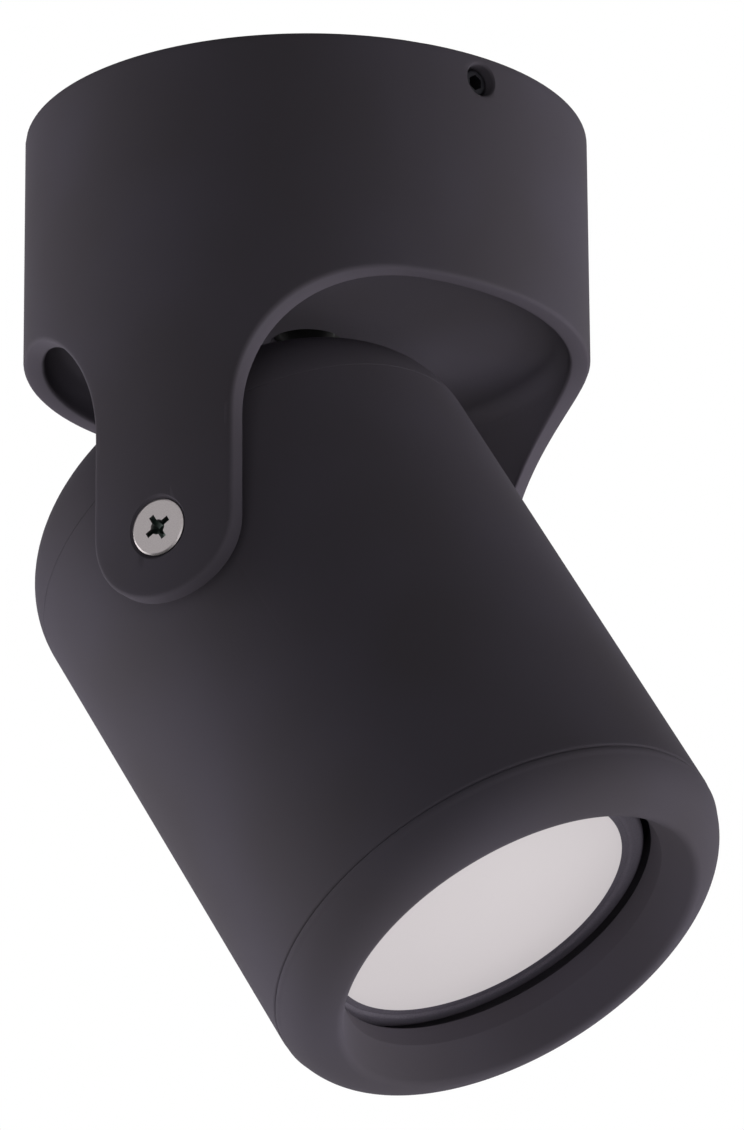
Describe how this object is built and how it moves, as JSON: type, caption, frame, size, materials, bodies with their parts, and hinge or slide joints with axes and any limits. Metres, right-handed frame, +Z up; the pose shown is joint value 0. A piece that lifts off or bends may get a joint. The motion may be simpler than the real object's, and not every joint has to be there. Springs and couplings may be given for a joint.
{
  "type": "surface mounted ceiling spotlight",
  "caption": "Round ceiling cup with a forked skirt whose legs carry a tilting cylindrical spotlight head with a recessed lamp.",
  "frame": {"origin": "centre of the ceiling face, where the plate's screw pattern is centred", "axes": "+Z up into the ceiling; +Y along the pivot axis between the two legs; +X the way the head's front leans at rest"},
  "size_m": [0.0991, 0.08, 0.1401],
  "materials": {
    "charcoal_powder_coat": "matte charcoal powder coat with a fine grain, on aluminium",
    "zinc_plated_steel": "bright zinc plating",
    "blackened_steel": "black oxide",
    "nickel_plated_steel": "satin nickel plating",
    "brass": "plain turned brass",
    "tinned_brass": "tin plating",
    "white_nylon": "moulded, matte",
    "black_nylon": "moulded, matte",
    "green_yellow_pvc": "green insulation with a yellow stripe",
    "black_rubber": "moulded, matte",
    "white_steatite": null,
    "white_lamp_plastic": "moulded, satin",
    "white_board": "white solder mask on an aluminium board",
    "led_phosphor": "yellow phosphor",
    "opal_diffuser": "opal polycarbonate, matte",
    "dark_rim_plastic": "moulded, matte dark grey"
  },
  "bodies": {
    "base": {"canopy": "charcoal_powder_coat", "ceiling_plate": "zinc_plated_steel", "canopy_grub_screws": "blackened_steel", "terminal_block": "white_nylon", "terminal_clamps": "brass", "terminal_screws": "zinc_plated_steel", "terminal_fixing_screws": "zinc_plated_steel", "earth_screw": "brass", "earth_washer": "zinc_plated_steel", "earth_lug": "tinned_brass", "earth_wire": "green_yellow_pvc", "web_bush": "black_rubber"},
    "head": {"head_tube": "charcoal_powder_coat", "rear_cap": "charcoal_powder_coat", "rear_cap_screws": "blackened_steel", "pivot_screws": "nickel_plated_steel", "pivot_spacers": "black_nylon", "pivot_spring_washers": "zinc_plated_steel", "pivot_nuts": "zinc_plated_steel", "lamp_holder": "white_steatite", "holder_contacts": "tinned_brass", "holder_screws": "zinc_plated_steel", "holder_bracket": "zinc_plated_steel", "bracket_screws": "zinc_plated_steel", "rear_bush": "black_rubber"},
    "lamp": {"lamp_base": "white_lamp_plastic", "lamp_pins": "nickel_plated_steel", "lamp_housing": "white_lamp_plastic", "lamp_board": "white_board", "lamp_leds": "led_phosphor", "lamp_diffuser": "opal_diffuser", "lamp_rim": "dark_rim_plastic"},
    "front_ring": {"front_ring": "charcoal_powder_coat", "ring_gasket": "black_rubber"}
  },
  "joints": [
    {"name": "head_tilt", "type": "hinge", "parent": "base", "child": "head", "pos_m": [0, 0, -0.0704], "axis": [0, -1, 0], "range_deg": [-121, 59]},
    {"name": "lamp_twist", "type": "hinge", "parent": "head", "child": "lamp", "pos_m": [0.00417, 0, -0.07734], "axis": [-0.4863, 0, 0.8738], "range_deg": [0, 16]},
    {"name": "ring_pull", "type": "slide", "parent": "head", "child": "front_ring", "axis": [0.515, 0, -0.8572], "range_m": [0, 0.012]}
  ]
}
